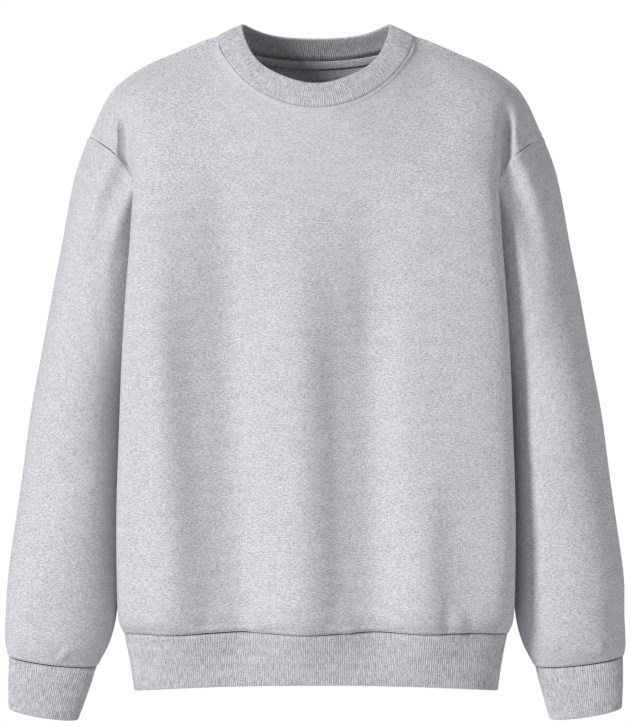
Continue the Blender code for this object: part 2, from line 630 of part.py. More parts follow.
def draw_skins():
    """The outer points of every piece, before the seams are parted."""
    front = fold_torso(whole(half_panel(FRONT)), FRONT)
    back = fold_torso(whole(half_panel(BACK)), BACK)
    # The two panels share the points of their side and shoulder seams.
    back[: UNDERARM_ROW + 1, [0, -1]] = front[: UNDERARM_ROW + 1, [0, -1]]
    shoulder = list(range(SHOULDER_OUTER_SPANS + SHOULDER_INNER_SPANS + 1))
    shoulder += [2 * HALF_SPANS - column for column in shoulder]
    back[-1, shoulder] = front[-1, shoulder]
    skins = {
        "front": {"points": front, "ring": False},
        "back": {"points": back[:, ::-1], "ring": False},
    }
    armholes = []
    for side, name in ((LEFT, "left"), (RIGHT, "right")):
        column, inside = (-1, -2) if side == LEFT else (0, 1)
        armhole = around_armhole(front, back, column)
        panel_inside = around_armhole(front, back, inside)
        panel_inside[len(armhole) // 2] = front[UNDERARM_ROW - 1, column]
        rings = sleeve_rings(side, armhole)
        armholes.append((side, armhole, panel_inside, rings[1]))
        cuff = np.array([rings[-1], cuff_edge(side, len(armhole))])
        # A ring runs anticlockwise seen from above, with its rows going up, so that its quads face outwards.
        order = slice(None, None, -1) if side == LEFT else slice(None)
        skins["sleeve_" + name] = {"points": rings[::-1, order], "ring": True}
        skins["cuff_" + name] = {"points": cuff[::-1, order], "ring": True}
    hem = np.concatenate([front[0], back[0, -2:0:-1]])
    skins["waistband"] = {"points": np.array([band_edge(), hem]), "ring": True}
    turned = 0.5 * np.pi * np.arange(4 * NECK_SPANS) / NECK_SPANS
    neck_start = HALF_SPANS - NECK_SPANS
    front_neck = front[-1, neck_start : neck_start + 2 * NECK_SPANS + 1]
    back_neck = back[-1, neck_start : neck_start + 2 * NECK_SPANS + 1][::-1]
    seam = np.concatenate([front_neck[NECK_SPANS:], back_neck[1:-1], front_neck[:NECK_SPANS]])
    middle, edge = collar_rings(turned)
    skins["collar"] = {"points": np.array([seam, middle, edge]), "ring": True}
    return skins, armholes


def neck_tape(back, offsets):
    """A strip inside the back panel between its last two rows, made from the panel's own inner points."""
    neck_start = HALF_SPANS - NECK_SPANS
    columns = slice(neck_start, neck_start + 2 * NECK_SPANS + 1)
    rows = slice(-2, None)
    outer = (back - (FLEECE_WALL + TAPE_CLEARANCE) * offsets)[rows, columns]
    inner = outer - TAPE_WALL * offsets[rows, columns]
    return outer, inner


def build():
    for old in list(bpy.data.objects):
        bpy.data.objects.remove(old, do_unlink=True)
    fleece = make_material("heather fleece", GREY_FLEECE, 0.95)
    rib = make_material("heather rib knit", GREY_RIB, 0.95)
    skins, armholes = draw_skins()
    shared_offsets(skins, armholes)
    sewn = {"front": ("bottom", "top", "start", "end"), "back": ("bottom", "top", "start", "end")}
    for name, skin in skins.items():
        ribbed = name.startswith(("collar", "waistband", "cuff"))
        sides = sewn.get(name, ("bottom", "top"))
        if ribbed:
            sides = ("bottom",) if name == "collar" else ("top",)
        points = draw_back(skin["points"], skin["offsets"], skin["ring"], sides)
        if ribbed:
            ribbed_object(name, points, skin["offsets"], rib)
        else:
            wall_object(name, points, points - FLEECE_WALL * skin["offsets"], skin["ring"], fleece)
    outer, inner = neck_tape(skins["back"]["points"], skins["back"]["offsets"])
    wall_object("neck_tape", outer, inner, False, rib)


build()
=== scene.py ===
# Dresses the crewneck sweatshirt: fleece shells, rib knit bands, a neck tape and its sewing.
# Sizes are in millimetres up to the point where a mesh is made, and the scene is in metres.
import math

import bmesh
import bpy
import numpy as np
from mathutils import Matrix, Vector


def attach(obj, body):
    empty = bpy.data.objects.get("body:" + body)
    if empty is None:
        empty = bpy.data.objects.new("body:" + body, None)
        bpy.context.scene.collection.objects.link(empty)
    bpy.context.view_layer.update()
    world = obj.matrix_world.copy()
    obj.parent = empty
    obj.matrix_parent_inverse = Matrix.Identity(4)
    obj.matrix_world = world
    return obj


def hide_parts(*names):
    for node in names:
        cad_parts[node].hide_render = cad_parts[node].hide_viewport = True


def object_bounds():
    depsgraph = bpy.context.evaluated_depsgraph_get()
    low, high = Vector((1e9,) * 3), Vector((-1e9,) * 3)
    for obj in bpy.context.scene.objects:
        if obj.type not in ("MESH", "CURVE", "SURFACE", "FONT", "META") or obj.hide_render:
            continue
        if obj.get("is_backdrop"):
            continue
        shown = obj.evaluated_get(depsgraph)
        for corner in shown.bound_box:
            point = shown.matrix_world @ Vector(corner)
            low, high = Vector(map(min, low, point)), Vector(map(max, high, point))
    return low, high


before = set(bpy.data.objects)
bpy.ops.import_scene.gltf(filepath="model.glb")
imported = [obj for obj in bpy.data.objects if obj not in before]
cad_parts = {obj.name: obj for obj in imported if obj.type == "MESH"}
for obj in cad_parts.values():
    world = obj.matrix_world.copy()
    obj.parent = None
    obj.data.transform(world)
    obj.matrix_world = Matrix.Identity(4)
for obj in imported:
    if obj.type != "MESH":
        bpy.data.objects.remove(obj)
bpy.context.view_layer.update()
bpy.ops.object.select_all(action="DESELECT")

mm = 0.001
right, forwards, up = 0, 1, 2  # the axes; the front faces -Y, so "forwards" counts towards the back
seamGap = 0.34


# Small sums

def unit(vectors):
    return vectors / np.maximum(np.linalg.norm(vectors, axis=-1, keepdims=True), 1e-9)


def ramp(values, start, end):
    share = np.clip((values - start) / (end - start), 0, 1)
    return share * share * (3 - 2 * share)


def bell(values, width):
    return np.exp(-((values / width) ** 2))


def splineSlopes(places, values):
    # slopes of the smoothest cubic through the values, which run along the first axis
    steps = np.diff(places)
    count = len(places)
    rises = np.diff(values, axis=0) / steps[:, None]
    system = np.zeros((count, count))
    wanted = np.zeros((count, values.shape[1]))
    system[0, :2], wanted[0] = (2, 1), 3 * rises[0]
    system[-1, -2:], wanted[-1] = (1, 2), 3 * rises[-1]
    for i in range(1, count - 1):
        before, after = 1 / steps[i - 1], 1 / steps[i]
        system[i, i - 1 : i + 2] = before, 2 * (before + after), after
        wanted[i] = 3 * (rises[i - 1] * before + rises[i] * after)
    return np.linalg.solve(system, wanted)


def refined(grid, spacing, closed=False, seamRows=(), count=None):
    # grid[line, point, xyz] with new points along each line, evenly spaced but for seamRows, the extra
    # places near both ends; also gives how far along the line each point is
    padding = 4 if closed else 0
    if closed:
        grid = np.concatenate([grid[:, -padding:], grid, grid[:, : padding + 1]], axis=1)
    steps = np.linalg.norm(np.diff(grid, axis=1), axis=2).mean(axis=0)
    places = np.concatenate([[0], np.cumsum(steps)])
    start, end = places[padding], places[len(places) - 1 - padding]
    count = count or max(4, round((end - start) / spacing))
    at = np.linspace(start, end, count + 1)
    if seamRows:
        extra = np.array(seamRows)
        inside = at[(at > start + extra[-1] + spacing / 2) & (at < end - extra[-1] - spacing / 2)]
        at = np.concatenate([[start], start + extra, inside, (end - extra)[::-1], [end]])
    if closed:
        at = at[:-1]
    flat = grid.transpose(1, 0, 2).reshape(len(places), -1)
    slopes = splineSlopes(places, flat)
    span = np.clip(np.searchsorted(places, at, side="right") - 1, 0, len(places) - 2)
    width = (places[span + 1] - places[span])[:, None]
    t = (at - places[span])[:, None] / width
    flat = (
        (2 * t**3 - 3 * t**2 + 1) * flat[span]
        + (t**3 - 2 * t**2 + t) * slopes[span] * width
        + (3 * t**2 - 2 * t**3) * flat[span + 1]
        + (t**3 - t**2) * slopes[span + 1] * width
    )
    return flat.reshape(len(at), grid.shape[0], 3).transpose(1, 0, 2), at - start


def gridNormals(points, closed):
    if closed:
        across = np.roll(points, -1, axis=1) - np.roll(points, 1, axis=1)
    else:
        across = np.gradient(points, axis=1)
    return unit(np.cross(across, np.gradient(points, axis=0)))


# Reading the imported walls. Each fleece node is a grid of quads on both skins with a narrow rim between.

walls = {
    "merge": 0.01,
    "rim": 2.6,  # longer than any edge across a rim, and shorter than a panel's rows are high
    "middle": 1.5,  # how far from x nought a panel's middle column may stray
    "most": 100,  # more rows or columns than any wall has
}


def mergedNode(nodeName, paired):
    # the node's triangles, merged by distance and, if paired, turned back into the quads that they were cut
    # from; also gives the third corners of the triangles on each edge
    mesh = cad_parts[nodeName].data.copy()
    piece = bpy.data.objects.new(nodeName + "_merged", mesh)
    bpy.context.scene.collection.objects.link(piece)
    bpy.context.view_layer.objects.active = piece
    piece.select_set(True)
    bpy.ops.object.mode_set(mode="EDIT")
    bpy.ops.mesh.select_all(action="SELECT")
    bpy.ops.mesh.remove_doubles(threshold=walls["merge"] * mm)
    bpy.ops.object.mode_set(mode="OBJECT")
    thirds = {}
    for face in mesh.polygons:
        for k in range(3):
            edge = frozenset((face.vertices[k - 1], face.vertices[k]))
            thirds.setdefault(edge, set()).add(face.vertices[k - 2])
    if paired:
        bpy.ops.object.mode_set(mode="EDIT")
        bpy.ops.mesh.select_all(action="SELECT")
        bpy.ops.mesh.tris_convert_to_quads(
            face_threshold=math.pi, shape_threshold=math.pi, topology_influence=2.0
        )
        bpy.ops.object.mode_set(mode="OBJECT")
    shape = bmesh.new()
    shape.from_mesh(mesh)
    bpy.data.objects.remove(piece)
    return shape, thirds


def straightOn(edge, corner):
    # the edge on the far side of a corner where four meet
    others = [e for e in corner.link_edges if not set(e.link_faces) & set(edge.link_faces)]
    return others[0] if len(corner.link_edges) == 4 and others else None


def walk(start, edge, stop):
    line = [start]
    while edge is not None:
        corner = edge.other_vert(line[-1])
        if corner is stop:
            break
        line.append(corner)
        edge = straightOn(edge, corner)
    return line


def fillGrid(shape, thirds, firstRow, column, closed):
    # each row is found from the row below it, by the two triangles of every quad between them; the column
    # given is a panel's middle one, or a tube's first
    count = len(firstRow)
    at = 0 if closed else count // 2
    rows = [[corner.index for corner in firstRow]]
    for corner in column[1:]:
        below, row = rows[-1], {at: corner.index}
        for side in (1,) if closed else (1, -1):
            for step in range(count - 1 if closed else at):
                j = at + side * step
                here, following, above = below[j], below[j + side], row[j]
                overHere = thirds[frozenset((here, following))]
                if above in overHere:
                    found = thirds[frozenset((following, above))] - {here}
                else:
                    found = thirds[frozenset((here, above))] & overHere
                row[j + side] = found.pop()
        rows.append([row[j] for j in range(count)])
    shape.verts.ensure_lookup_table()
    return np.array([[shape.verts[k].co / mm for k in row] for row in rows])


def tubeArea(grid):
    following = np.roll(grid, -1, axis=1)
    crossed = np.cross(following[1:] - grid[:-1], grid[1:] - following[:-1])
    return 0.5 * np.linalg.norm(crossed, axis=-1).sum()


def hemRow(shape):
    # the outer line of a panel's lower rim, whose quads are each two triangles that lie flat
    start = max(shape.verts, key=lambda v: v.co[right] - v.co[up])
    stop = max(shape.verts, key=lambda v: -v.co[right] - v.co[up])
    rung = min(start.link_edges, key=lambda e: e.calc_length())
    ends = [start, rung.other_vert(start)]
    face = min(rung.link_faces, key=lambda f: f.calc_center_median()[up])
    line = [start]
    while line[-1] is not stop and len(line) < walls["most"]:
        tip = next(v for v in face.verts if v not in ends)
        diagonal = min((e for e in face.edges if tip in e.verts), key=lambda e: e.calc_face_angle())
        face = next(f for f in diagonal.link_faces if f is not face)
        last = next(v for v in face.verts if v not in diagonal.verts)
        ends = [last, tip] if ends[0] in diagonal.verts else [tip, last]
        rung = next(e for e in face.edges if set(e.verts) == set(ends))
        face = next(f for f in rung.link_faces if f is not face)
        line.append(ends[0])
    return line


def middleColumn(start):
    # up the middle of a panel, where x is about nought, as far as its upper rim
    column = [start]
    while len(column) < walls["most"]:
        last = column[-1]
        near = [e.other_vert(last) for e in last.link_edges if e.calc_length() > walls["rim"] * mm]
        near = [v for v in near if v not in column and abs(v.co[right]) < walls["middle"] * mm]
        if not near:
            break
        column.append(max(near, key=lambda v: v.co[up]))
    return column


def panelGrid(nodeName):
    # outer skin of an open panel: rows from low to high, columns so that the faces look out
    shape, thirds = mergedNode(nodeName, False)
    row = hemRow(shape)
    grid = fillGrid(shape, thirds, row, middleColumn(row[len(row) // 2]), False)
    shape.free()
    facing = np.sign(grid[..., forwards].mean())
    return grid if facing * gridNormals(grid, False)[..., forwards].mean() > 0 else grid[:, ::-1]


def tubeGrid(nodeName):
    # outer skin of a tube: rows from the low end up, the first column under the arm
    shape, thirds = mergedNode(nodeName, True)
    lowest = min(shape.verts, key=lambda v: v.co[up])
    rung = min(lowest.link_edges, key=lambda e: e.calc_length())
    skins = []
    for start in rung.verts:
        along = straightOn(rung, start)
        rim = next(e for e in start.link_edges if e is not rung and e is not along)
        ring = walk(start, rim, start)
        columns = []
        for corner in ring:
            across = min(corner.link_edges, key=lambda e: e.calc_length())
            columns.append(walk(corner, straightOn(across, corner), across.other_vert(corner)))
        # a few columns pass a quad that was paired wrongly, and end too soon or too late
        lengths = [len(column) for column in columns]
        first = lengths.index(sorted(lengths)[len(lengths) // 2])
        column = columns[first][: (lengths[first] + 1) // 2]
        skins.append(fillGrid(shape, thirds, ring[first:] + ring[:first], column, True))
    shape.free()
    grid = max(skins, key=tubeArea)
    if grid[0, :, up].mean() > grid[-1, :, up].mean():
        grid = grid[::-1]
    centres = grid.mean(axis=1, keepdims=True)
    if (gridNormals(grid, True) * (grid - centres)).sum() < 0:
        grid = grid[:, ::-1]
    inner = np.argmin(np.abs(grid[len(grid) // 2, :, right]))
    return np.roll(grid, -inner, axis=1)


# Making meshes

def gridMesh(name, points, closed, materials, across, height, wall=None, innerMaterial=0):
    # a mesh from a grid in millimetres; "across" and "height" are the columns' and the rows' places for the
    # UV map
    rows, columns = points.shape[:2]
    spans = columns if closed else columns - 1
    faces = []
    for r in range(rows - 1):
        for c in range(spans):
            below, above, beside = r * columns, (r + 1) * columns, (c + 1) % columns
            faces.append((below + c, below + beside, above + beside, above + c))
    mesh = bpy.data.meshes.new(name)
    mesh.from_pydata((points.reshape(-1, 3) * mm).tolist(), [], faces)
    for material in materials:
        mesh.materials.append(material)
    layer = mesh.uv_layers.new(name="cloth")
    wide = np.append(across, across[-1] + across[1] - across[0]) if closed else across
    corners = [
        (wide[c + dc] * mm, height[r + dr] * mm)
        for r in range(rows - 1)
        for c in range(spans)
        for dc, dr in ((0, 0), (1, 0), (1, 1), (0, 1))
    ]
    layer.data.foreach_set("uv", np.array(corners, np.float32).ravel())
    mesh.shade_smooth()
    piece = bpy.data.objects.new(name, mesh)
    bpy.context.scene.collection.objects.link(piece)
    if wall:
        thicken = piece.modifiers.new("wall", "SOLIDIFY")
        thicken.thickness = wall * mm
        thicken.offset = -1
        thicken.material_offset = innerMaterial
        applyModifiers(piece)
    return piece


def applyModifiers(piece):
    bpy.ops.object.select_all(action="DESELECT")
    bpy.context.view_layer.objects.active = piece
    piece.select_set(True)
    for modifier in list(piece.modifiers):
        bpy.ops.object.modifier_apply(modifier=modifier.name)
    piece.select_set(False)


# Materials

def hexColor(code):
    # sRGB hex to linear
    parts = [int(code[i : i + 2], 16) / 255 for i in (1, 3, 5)]
    return tuple(p / 12.92 if p <= 0.04045 else ((p + 0.055) / 1.055) ** 2.4 for p in parts) + (1.0,)


def addNode(tree, kind, settings=None, links=None):
    node = tree.nodes.new(kind)
    for name, value in (settings or {}).items():
        if name in node.inputs:
            node.inputs[name].default_value = value
        else:
            setattr(node, name, value)
    for name, source in (links or {}).items():
        tree.links.new(source, node.inputs[name])
    return node


def newMaterial(name, roughness, sheen):
    material = bpy.data.materials.new(name)
    material.use_nodes = True
    tree = material.node_tree
    tree.nodes.clear()
    shader = addNode(tree, "ShaderNodeBsdfPrincipled", {
        "Roughness": roughness, "Specular IOR Level": 0.12, "Sheen Weight": sheen, "Sheen Roughness": 0.6,
    })
    addNode(tree, "ShaderNodeOutputMaterial", links={"Surface": shader.outputs["BSDF"]})
    return material, tree, shader


def heatherKnit(name, look):
    # Cotton jersey spun from dyed and undyed fibre: light ground, dark and pale slubs lying along the
    # courses, and a soft brushed surface with no gloss. The 1.1 mm stitches are too fine to show and are
    # left out.
    material, tree, shader = newMaterial(name, 0.95, look["sheen"])
    place = addNode(tree, "ShaderNodeUVMap", {"uv_map": "cloth"}).outputs["UV"]

    def pattern(length, height, detail):
        scaled = addNode(tree, "ShaderNodeMapping", {
            "Scale": (1 / (length * mm), 1 / (height * mm), 1.0),
        }, {"Vector": place})
        noise = addNode(tree, "ShaderNodeTexNoise", {
            "noise_dimensions": "2D", "Scale": 1.0, "Detail": detail, "Roughness": 0.6,
        }, {"Vector": scaled.outputs["Vector"]})
        return noise.outputs["Fac"]

    def spread(source, low, high, lowTo, highTo):
        return addNode(tree, "ShaderNodeMapRange", {
            "From Min": low, "From Max": high, "To Min": lowTo, "To Max": highTo,
        }, {"Value": source}).outputs["Result"]

    grain = spread(pattern(*look["grain"], 1.0), 0.3, 0.7, 0.0, 1.0)
    slub = spread(pattern(*look["slub"], 1.0), 0.3, 0.7, 0.0, 1.0)
    cloud = spread(pattern(*look["cloud"], 2.0), 0.3, 0.7, 0.0, 1.0)
    both = addNode(tree, "ShaderNodeMix", {"Factor": look["slubShare"]}, {"A": grain, "B": slub})
    fibres = addNode(tree, "ShaderNodeMix", {"Factor": look["cloudShare"]}, {
        "A": both.outputs["Result"], "B": cloud,
    })
    colors = addNode(tree, "ShaderNodeValToRGB", links={"Fac": fibres.outputs["Result"]})
    ramps = colors.color_ramp.elements
    ramps[0].position, ramps[0].color = 0.12, hexColor(look["dark"])
    ramps[1].position, ramps[1].color = 0.88, hexColor(look["pale"])
    middle = ramps.new(0.5)
    middle.color = hexColor(look["ground"])
    tree.links.new(colors.outputs["Color"], shader.inputs["Base Color"])
    nap = addNode(tree, "ShaderNodeBump", {
        "Strength": look["nap"], "Distance": 0.4 * mm,
    }, {"Height": both.outputs["Result"]})
    tree.links.new(nap.outputs["Normal"], shader.inputs["Normal"])
    return material


def threadMaterial(name, color):
    # Spun polyester sewing thread in the cloth's own grey, a little paler and smoother than the knit
    material, _, shader = newMaterial(name, 0.6, 0.1)
    shader.inputs["Base Color"].default_value = hexColor(color)
    return material


fleeceLook = {
    "ground": "#c9c8cd", "dark": "#9f9ea4", "pale": "#e6e5ea", "sheen": 0.1, "nap": 0.3,
    "grain": (1.3, 1.1), "slub": (5.0, 1.2), "slubShare": 0.35, "cloud": (26.0, 9.0), "cloudShare": 0.1,
}
insideLook = dict(fleeceLook, ground="#c0bfc4", dark="#9a999f", pale="#dcdbe0", nap=0.5, grain=(1.6, 1.6))
ribLook = dict(
    fleeceLook, ground="#c0bfc4", dark="#97969c", pale="#dedde2", grain=(1.2, 1.4), slub=(1.2, 8.0),
    slubShare=0.45, nap=0.25,
)
heatherFleece = heatherKnit("heather fleece, brushed cotton", fleeceLook)
fleeceInside = heatherKnit("heather fleece, napped inside", insideLook)
heatherRib = heatherKnit("heather rib knit, cotton and elastane", ribLook)
tapeTwill = heatherKnit("heather neck tape, cotton jersey", dict(ribLook, slub=(6.0, 1.2)))
sewingThread = threadMaterial("sewing thread, spun polyester", "#dddce1")
print("materials made")


# Fleece shells

# Creases: the side of the garment that they are seen on, from, to, bow, width, depth and fade.
# Places are (x, z) on the front and back, and (y, z) on the wearer's left and right. A ridge has a positive
# depth. A crease with two widths is (to -X, to +X) of a line that runs down. Fade is the share of the length
# over which it rises at its start and dies out at its end.
frontCreases = (
    ("front", (-208, -64), (-199, -150), -1, (8, 4), -3.5, (0.35, 0.3)),
    ("front", (199, -60), (198, -150), 1, (4, 7), -3.5, (0.35, 0.3)),
    ("front", (-140, -240), (-107, -628), 4, (24, 36), -6.5, (0.35, 0.09)),
    ("front", (18, -250), (32, -628), 3, (19, 28), -5.5, (0.35, 0.09)),
    ("front", (138, -440), (143, -628), 2, (17, 20), -3.8, (0.5, 0.15)),
    ("front", (-66, -260), (-40, -628), 2, 26, 2.0, (0.35, 0.09)),
    ("front", (80, -270), (86, -628), 2, 24, 2.0, (0.35, 0.09)),
    ("front", (137, -626), (141, -588), 1, 4.5, -1.5, (0.05, 0.7)),
    ("front", (163, -626), (160, -598), 0, 4, -1.2, (0.05, 0.7)),
    ("front", (149, -626), (151, -600), 0, 4.5, 1.1, (0.05, 0.7)),
    ("front", (-118, -626), (-112, -596), -1, 5, -1.0, (0.05, 0.7)),
    ("front", (-60, -628), (-66, -590), 2, 7, 1.0, (0.05, 0.7)),
    ("front", (34, -628), (30, -586), 1, 7, 1.1, (0.05, 0.7)),
    ("front", (-160, -300), (-60, -330), 8, 20, -0.8, (0.5, 0.5)),
    ("front", (60, -250), (165, -215), -9, 22, -0.8, (0.5, 0.5)),
    ("front", (20, -430), (130, -400), 6, 18, -0.7, (0.5, 0.5)),
)
backCreases = (
    ("back", (206, -66), (199, -150), 1, (4, 8), -3.0, (0.35, 0.3)),
    ("back", (-203, -64), (-198, -146), -1, (8, 4), -3.0, (0.35, 0.3)),
    ("back", (-120, -120), (110, -132), -14, 16, 1.2, (0.5, 0.5)),
    ("back", (-150, -170), (30, -196), -10, 18, -1.0, (0.5, 0.5)),
    ("back", (128, -626), (133, -590), 1, 5, -1.4, (0.05, 0.7)),
    ("back", (-84, -626), (-88, -594), -1, 5, -1.2, (0.05, 0.7)),
    ("back", (-20, -628), (-26, -590), 1, 7, 1.0, (0.05, 0.7)),
    ("back", (50, -628), (46, -588), 1, 7, 1.1, (0.05, 0.7)),
    ("back", (40, -330), (150, -300), 8, 20, -0.9, (0.5, 0.5)),
    ("back", (-160, -430), (-50, -460), -8, 20, -0.8, (0.5, 0.5)),
)
# The wearer's left sleeve is on the right of the front view.
leftSleeveCreases = (
    ("front", (206, -298), (240, -294), -2, 5, -1.5, (0.1, 0.7)),
    ("front", (212, -312), (248, -316), 2, 7, 1.0, (0.2, 0.7)),
    ("front", (214, -452), (272, -462), -4, 6, -1.3, (0.2, 0.6)),
    ("front", (222, -478), (285, -500), -4, 9, 1.0, (0.3, 0.6)),
    ("front", (216, -524), (266, -548), -3, 8, -1.0, (0.3, 0.6)),
    ("front", (302, -634), (309, -648), 0, 3.2, -1.6, (0.5, 0.1)),
    ("front", (296, -630), (301, -648), 0, 4, 1.2, (0.5, 0.1)),
    ("front", (262, -628), (256, -654), 1, 5, -0.9, (0.6, 0.1)),
    ("back", (228, -330), (276, -352), 3, 9, -1.5, (0.3, 0.6)),
    ("back", (232, -392), (288, -408), 4, 9, -1.8, (0.3, 0.6)),
    ("back", (228, -418), (290, -440), 4, 9, 1.4, (0.3, 0.6)),
    ("back", (236, -452), (290, -470), 4, 8, -1.5, (0.3, 0.6)),
    ("back", (280, -626), (276, -652), 1, 5, -1.2, (0.6, 0.1)),
    ("left", (-20, -622), (-16, -648), 1, 4, -1.2, (0.6, 0.1)),
)
rightSleeveCreases = (
    ("front", (-204, -240), (-236, -230), 2, 7, -1.1, (0.2, 0.7)),
    ("front", (-212, -356), (-256, -370), 3, 8, -1.0, (0.2, 0.7)),
    ("front", (-216, -430), (-270, -444), 4, 9, -1.1, (0.3, 0.6)),
    ("front", (-222, -470), (-282, -486), 4, 9, 0.9, (0.3, 0.6)),
    ("front", (-256, -640), (-268, -654), 0, 3.4, 1.7, (0.5, 0.1)),
    ("front", (-264, -638), (-274, -652), 0, 3.2, -1.4, (0.5, 0.1)),
    ("front", (-300, -626), (-304, -648), 0, 5, -0.9, (0.6, 0.1)),
    ("back", (-230, -346), (-280, -362), -3, 9, -1.6, (0.3, 0.6)),
    ("back", (-228, -402), (-290, -424), -4, 9, -1.8, (0.3, 0.6)),
    ("back", (-232, -432), (-292, -452), -4, 9, 1.4, (0.3, 0.6)),
    ("back", (-262, -628), (-266, -654), -1, 5, -1.2, (0.6, 0.1)),
    ("right", (-18, -624), (-22, -648), 1, 4, -1.2, (0.6, 0.1)),
)

fleece = {
    "wall": 2.0,
    "spacing": (2.9, 3.9),  # across and along the cloth; the shells keep under 200,000 triangles
    "sleeveSpacing": (3.0, 3.6),
    "seamRows": (0.6, 1.2, 1.8, 2.5, 3.3, 4.2, 5.2, 6.4, 7.8, 9.6),  # finer rows beside each seam
    "stitchDent": 0.3,
    "stitchDentWidth": 0.8,
}
# How each seam shows: how far the cloth sinks into it and over what width, how far the turned allowance lifts
# it and where that ends, and where its rows of stitches run, all in millimetres from the seam
seamLooks = {
    "neck": {"dip": 1.1, "dipWidth": 0.8, "lift": 0.7, "liftEnds": (4.5, 8.5), "stitches": (1.8, 5.9)},
    "shoulder": {"dip": 0.7, "dipWidth": 1.0, "lift": 0.45, "liftEnds": (5.0, 9.0), "stitches": (2.2,)},
    "armhole": {"dip": 0.4, "dipWidth": 0.8, "lift": 0.7, "liftEnds": (4.0, 8.0), "stitches": (2.1,)},
    "side": {"dip": 0.8, "dipWidth": 1.0, "lift": 0.3, "liftEnds": (5.0, 9.0), "stitches": ()},
    "hem": {"dip": 1.2, "dipWidth": 1.0, "lift": 0.7, "liftEnds": (4.0, 8.5), "stitches": (2.2,)},
    "cuff": {"dip": 1.2, "dipWidth": 1.0, "lift": 0.6, "liftEnds": (4.0, 8.0), "stitches": (2.0,)},
}
neckHalfWidth = 103.6
underarmZ = -298.0
seamFades = {"neck": 2.0, "underarm": (8.0, 2.0)}  # over what length one seam gives way to the next
creaseLine = {"samples": 25, "overrun": 0.02, "facing": (0.05, 0.45)}
viewSides = {
    "front": (right, (0.0, -1.0, 0.0)),
    "back": (right, (0.0, 1.0, 0.0)),
    "left": (forwards, (1.0, 0.0, 0.0)),
    "right": (forwards, (-1.0, 0.0, 0.0)),
}


def creaseHeight(points, normals, creases):
    # how far the cloth moves along its normals beside each bowed line, where it faces the line's own side
    height = np.zeros(points.shape[:2])
    samples = np.linspace(0, 1, creaseLine["samples"])
    overrun = creaseLine["overrun"]
    for side, start, end, bow, widths, depth, (rise, fall) in creases:
        axis, facing = viewSides[side]
        start, end = np.array(start, float), np.array(end, float)
        sideways = unit(np.array([start[1] - end[1], end[0] - start[0]]))
        middle = (start + end) / 2 + 2 * bow * sideways
        t = samples[:, None]
        line = (1 - t) ** 2 * start + 2 * t * (1 - t) * middle + t**2 * end
        reach = points[..., None, (axis, up)] - line
        away = np.linalg.norm(reach, axis=-1)
        nearest = away.argmin(axis=-1)
        beside = np.take_along_axis(reach @ sideways, nearest[..., None], -1)[..., 0]
        narrow, wide = np.broadcast_to(widths, 2)
        width = np.where(beside < 0, narrow, wide)
        place = samples[nearest]
        strength = ramp(place, -overrun, rise) * (1 - ramp(place, 1 - fall, 1 + overrun))
        seen = ramp(normals @ np.array(facing), *creaseLine["facing"])
        height += depth * strength * seen * bell(away.min(axis=-1), width)
    return height


def inwards(points, edge):
    # the shell's lines of points, running in from one edge, and how far in each point is
    lines = {
        "bottom": points, "top": points[::-1],
        "start": points.transpose(1, 0, 2), "end": points.transpose(1, 0, 2)[::-1],
    }[edge]
    steps = np.linalg.norm(np.diff(lines, axis=0), axis=2)
    return lines, np.concatenate([np.zeros((1, lines.shape[1])), np.cumsum(steps, axis=0)])


def seamShare(seam, line):
    # how much of each point of an edge belongs to this seam
    fade = seamFades["neck"]
    low, high = seamFades["underarm"]
    onNeck = 1 - ramp(np.abs(line[:, right]), neckHalfWidth - fade, neckHalfWidth + fade)
    onArmhole = ramp(line[:, up], underarmZ - low, underarmZ - high)
    shares = {"neck": onNeck, "shoulder": 1 - onNeck, "armhole": onArmhole, "side": 1 - onArmhole}
    return shares.get(seam, np.ones(len(line)))


def seamHeight(points, seams):
    # the cloth sinks where it is sewn, stands up over the allowance and is dented by its stitches
    height = np.zeros(points.shape[:2])
    for edge, seam in seams:
        look = seamLooks[seam]
        lines, distance = inwards(points, edge)
        relief = look["lift"] * (1 - ramp(distance, *look["liftEnds"]))
        relief -= (look["dip"] + look["lift"]) * np.exp(-distance / look["dipWidth"])
        for row in look["stitches"]:
            relief -= fleece["stitchDent"] * bell(distance - row, fleece["stitchDentWidth"])
        relief *= seamShare(seam, lines[0])
        if edge in ("start", "end"):
            relief = relief.T
        height += relief[::-1] if edge == "top" else relief[:, ::-1] if edge == "end" else relief
    return height


def fleeceShell(name, closed, creases, seams, spacing):
    points, across = refined(coarseGrids[name], spacing[0], closed, () if closed else fleece["seamRows"])
    points, along = refined(points.transpose(1, 0, 2), spacing[1], False, fleece["seamRows"])
    points = points.transpose(1, 0, 2)
    normals = gridNormals(points, closed)
    height = creaseHeight(points, normals, creases) + seamHeight(points, seams)
    points = points + normals * height[..., None]
    looks = (heatherFleece, fleeceInside)
    piece = gridMesh(name + "_cloth", points, closed, looks, across, along, fleece["wall"], innerMaterial=1)
    print(name, len(piece.data.polygons), "faces, cut about", round(across[-1]), "x", round(along[-1]), "mm")
    return piece, points


coarseGrids = {"front": panelGrid("front"), "back": panelGrid("back")}
coarseGrids.update({side: tubeGrid(side) for side in ("sleeve_left", "sleeve_right")})
for name, grid in coarseGrids.items():
    print(name, "grid", grid.shape[:2])
panelSeams = (
    ("bottom", "hem"), ("top", "neck"), ("top", "shoulder"),
    ("start", "side"), ("start", "armhole"), ("end", "side"), ("end", "armhole"),
)
sleeveSeams = (("bottom", "cuff"), ("top", "armhole"))
shells = {}
for name, creases in (("front", frontCreases), ("back", backCreases)):
    shells[name] = fleeceShell(name, False, creases, panelSeams, fleece["spacing"])
for name, creases in (("sleeve_left", leftSleeveCreases), ("sleeve_right", rightSleeveCreases)):
    shells[name] = fleeceShell(name, True, creases, sleeveSeams, fleece["sleeveSpacing"])
print("fleece shells made")


# Rib knit bands, folded double at their free edge

